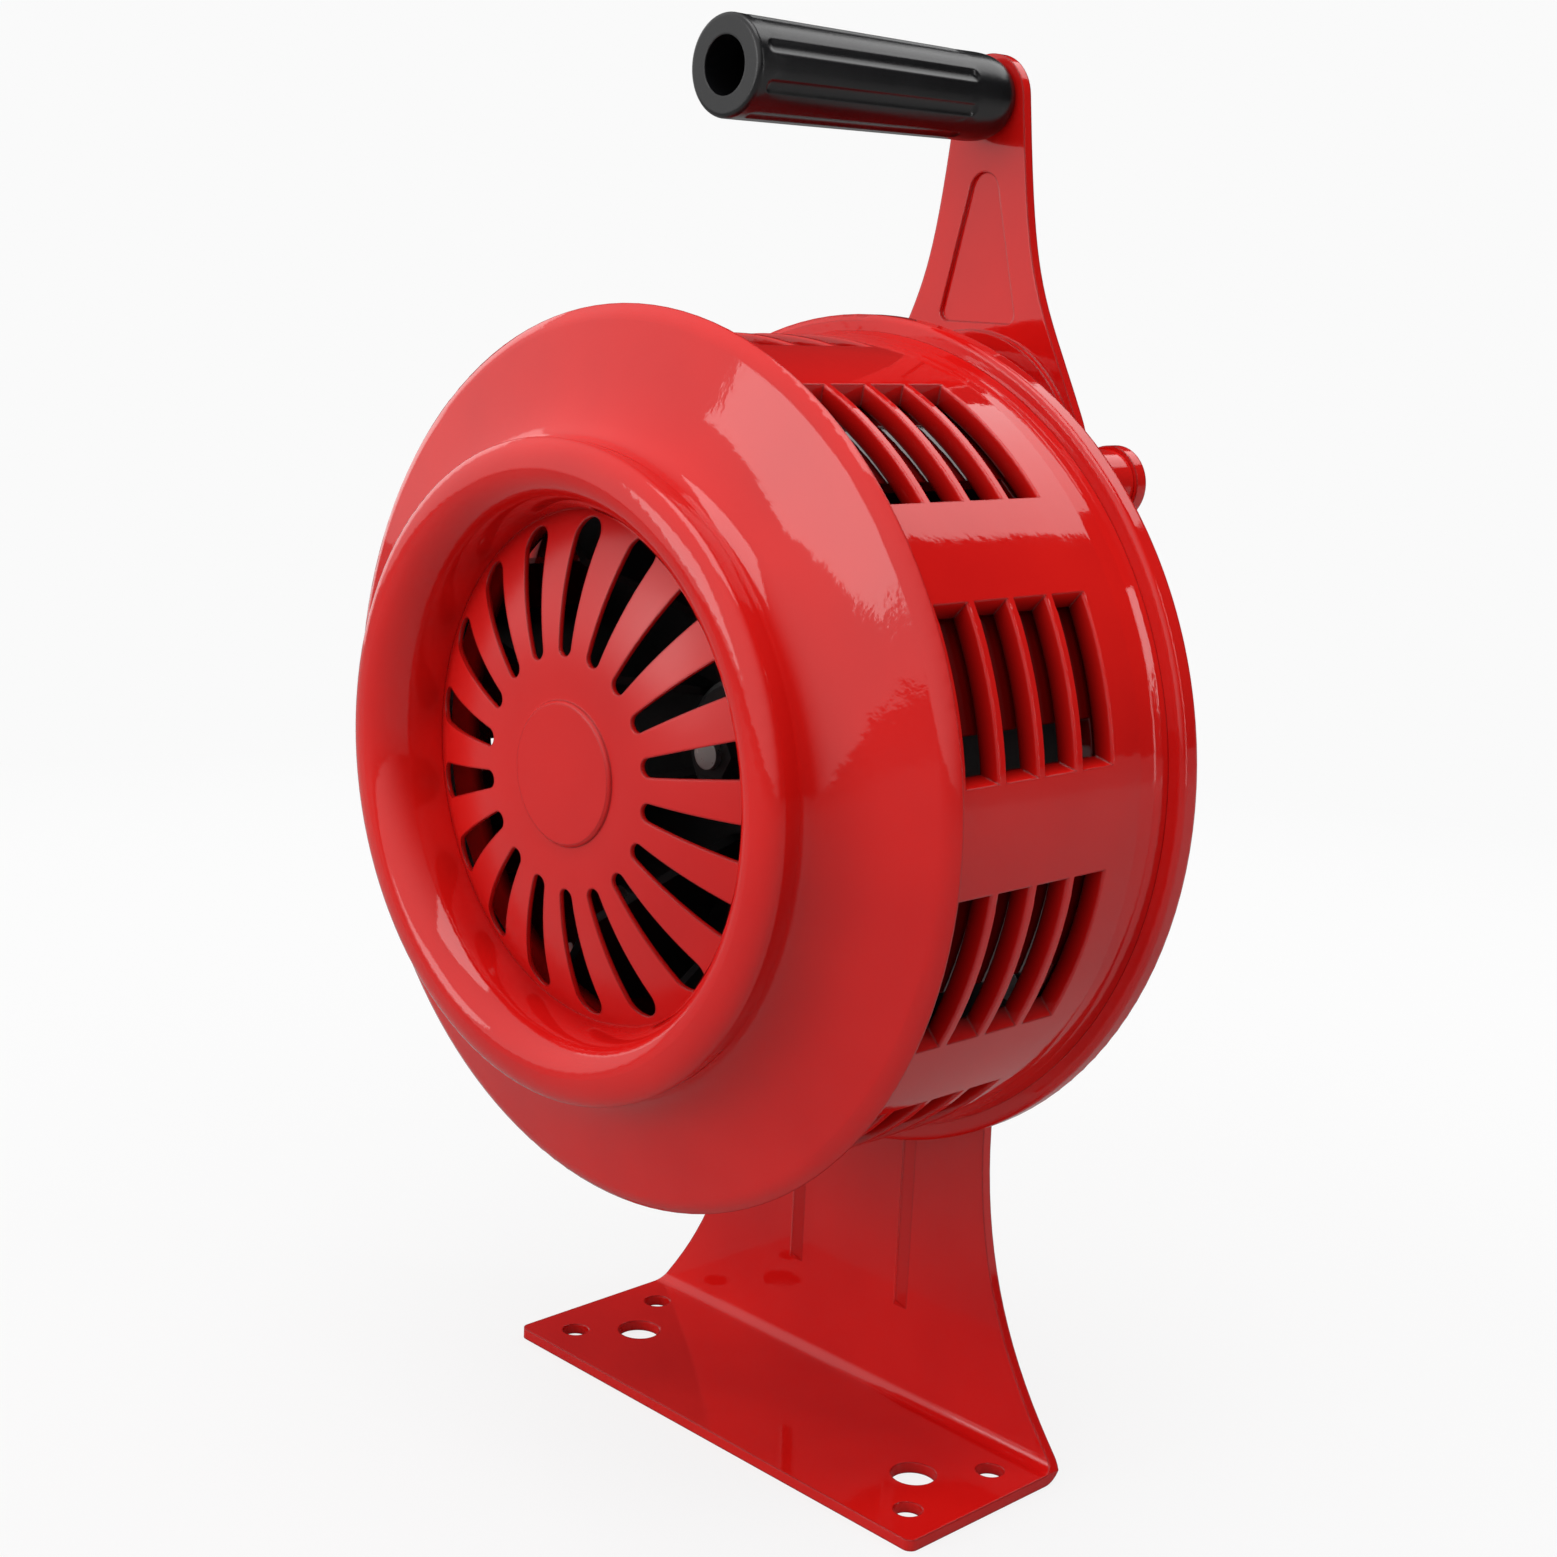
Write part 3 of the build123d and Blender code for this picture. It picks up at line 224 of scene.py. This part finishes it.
# ---------------------------------------------------------------- paint on every piece
red = (0.79, 0.012, 0.009)
deep_red = (0.62, 0.006, 0.006)
looks = {
    "red_casting": enamel("enamel_casting", red, deep_red, drum=True),
    "red_sheet": enamel("enamel_sheet", red, deep_red, wave=0.7),
    "black_casting": moulded("black_lacquer", (0.010, 0.010, 0.011), 0.4, 0.55),
    "bronze": metal("bronze", (0.55, 0.36, 0.16), 0.3, 0.45),
    "gear_steel": metal("gear_steel", (0.42, 0.41, 0.4), 0.25, 0.4),
    "plated_steel": metal("plated_steel", (0.62, 0.62, 0.6), 0.22, 0.38),
    "black_grip": moulded("grip_plastic", (0.006, 0.006, 0.007), 0.20, 0.28),
}
satin_red = enamel("enamel_satin", red, deep_red, satin=0.4, coat=0.3, wave=0.4)
for part in frame["record"]["subparts"]:
    node = frame["nodes"][part["node"]]
    node.data.materials.clear()
    look = satin_red if part["node"] == "intake_grille" else looks[part["material_slot"]]
    node.data.materials.append(look)


# ---------------------------------------------------------------- floor, light, camera
white_level = 0.956         # backdrop as the camera sees it


def backdrop_material():
    """White to the camera, with a share of the real shading left near the object."""
    s = Shader("floor_white")
    s.set(Base_Color=(0.4, 0.4, 0.4, 1.0), Roughness=0.8, Specular_IOR_Level=0.0)
    away = s.add("ShaderNodeVectorMath", operation="LENGTH")
    s.link(s.coords, "Object", away, 0)
    near_to_far = (0.25, 0.9)
    share = s.span((away, "Value"), near_to_far, (0.7, 1.0))
    level = s.span((away, "Value"), near_to_far, (1.19, white_level))
    glow = s.add("ShaderNodeEmission")
    s.link(*level, glow, "Strength")
    path = s.add("ShaderNodeLightPath")
    both = s.add("ShaderNodeMixShader")
    s.link(*s.product((path, "Is Camera Ray"), share), both, "Fac")
    s.link(s.bsdf, "BSDF", both, 1)
    s.link(glow, "Emission", both, 2)
    s.link(both, "Shader", s.out, "Surface")
    return s.material


def add_floor():
    """Plain square floor just under the foot."""
    mesh = bpy.data.meshes.new("floor")
    r = 6.0
    mesh.from_pydata([(-r, -r, 0), (r, -r, 0), (r, r, 0), (-r, r, 0)], [], [(0, 1, 2, 3)])
    floor = bpy.data.objects.new("floor", mesh)
    floor.location.z = -0.0002
    bpy.context.scene.collection.objects.link(floor)
    mesh.materials.append(backdrop_material())


def add_world():
    """White where the camera looks past the object; otherwise a studio brightest at front left."""
    world = bpy.data.worlds.new("studio")
    bpy.context.scene.world = world
    world.use_nodes = True
    tree = world.node_tree
    tree.nodes.clear()
    out = tree.nodes.new("ShaderNodeOutputWorld")
    seen = tree.nodes.new("ShaderNodeBackground")
    seen.inputs["Color"].default_value = (white_level, white_level, white_level, 1)
    seen.inputs["Strength"].default_value = 1.0
    coords = tree.nodes.new("ShaderNodeTexCoord")
    facing = tree.nodes.new("ShaderNodeVectorMath")
    facing.operation = "DOT_PRODUCT"
    facing.inputs[1].default_value = Vector((-0.3, -0.8, 0.5)).normalized()
    tree.links.new(coords.outputs["Generated"], facing.inputs[0])
    level = tree.nodes.new("ShaderNodeMapRange")
    level.interpolation_type = "SMOOTHSTEP"
    set_range(level, (-0.2, 0.95), (0.03, 1.15))
    tree.links.new(facing.outputs["Value"], level.inputs["Value"])
    fill = tree.nodes.new("ShaderNodeBackground")
    fill.inputs["Color"].default_value = (1, 1, 1, 1)
    tree.links.new(level.outputs["Result"], fill.inputs["Strength"])
    path = tree.nodes.new("ShaderNodeLightPath")
    mix = tree.nodes.new("ShaderNodeMixShader")
    tree.links.new(path.outputs["Is Camera Ray"], mix.inputs["Fac"])
    tree.links.new(fill.outputs[0], mix.inputs[1])
    tree.links.new(seen.outputs[0], mix.inputs[2])
    tree.links.new(mix.outputs[0], out.inputs["Surface"])


def add_softbox(name, place, size, power):
    """Rectangular lamp that faces the middle of the siren."""
    middle = Vector((0.0, 0.0, 0.19))
    light = bpy.data.lights.new(name, "AREA")
    light.shape = "RECTANGLE"
    light.size, light.size_y = size
    light.energy = power
    box = bpy.data.objects.new(name, light)
    bpy.context.scene.collection.objects.link(box)
    box.location = place
    box.rotation_euler = (middle - Vector(place)).to_track_quat("-Z", "Y").to_euler()


def add_camera():
    """Camera at the photograph's place and angle."""
    azimuth, elevation, roll = math.radians(45.43), math.radians(11.99), math.radians(2.70)
    back = Vector((math.sin(azimuth) * math.cos(elevation),
                   -math.cos(azimuth) * math.cos(elevation), math.sin(elevation)))
    right = (-back).cross(Vector((0, 0, 1))).normalized()
    up = right.cross(-back)
    side = math.cos(roll) * right + math.sin(roll) * up
    top = -math.sin(roll) * right + math.cos(roll) * up
    camera = bpy.data.objects.new("camera", bpy.data.cameras.new("camera"))
    bpy.context.scene.collection.objects.link(camera)
    rotation = Matrix((side, top, back)).transposed().to_4x4()
    camera.matrix_world = Matrix.Translation((0.4263, -0.42855, 0.3058)) @ rotation
    camera.data.sensor_width = 36.0
    camera.data.lens = 54.71
    camera.data.clip_start = 0.01
    bpy.context.scene.camera = camera


add_floor()
add_world()
add_softbox("softbox_front", (-0.74, -1.53, 0.56), (0.62, 0.60), 3.2)
add_softbox("softbox_back", (0.05, 1.2, 1.42), (1.0, 0.8), 5.0)
add_softbox("softbox_top", (0.3, -0.2, 1.9), (1.2, 1.2), 13.0)
add_softbox("softbox_right", (1.40, 0.85, 0.6), (0.22, 1.3), 3.5)
add_softbox("softbox_left", (-1.9, 0.2, 0.5), (0.9, 1.2), 3.0)
add_camera()

bpy.context.scene.view_settings.view_transform = "Standard"
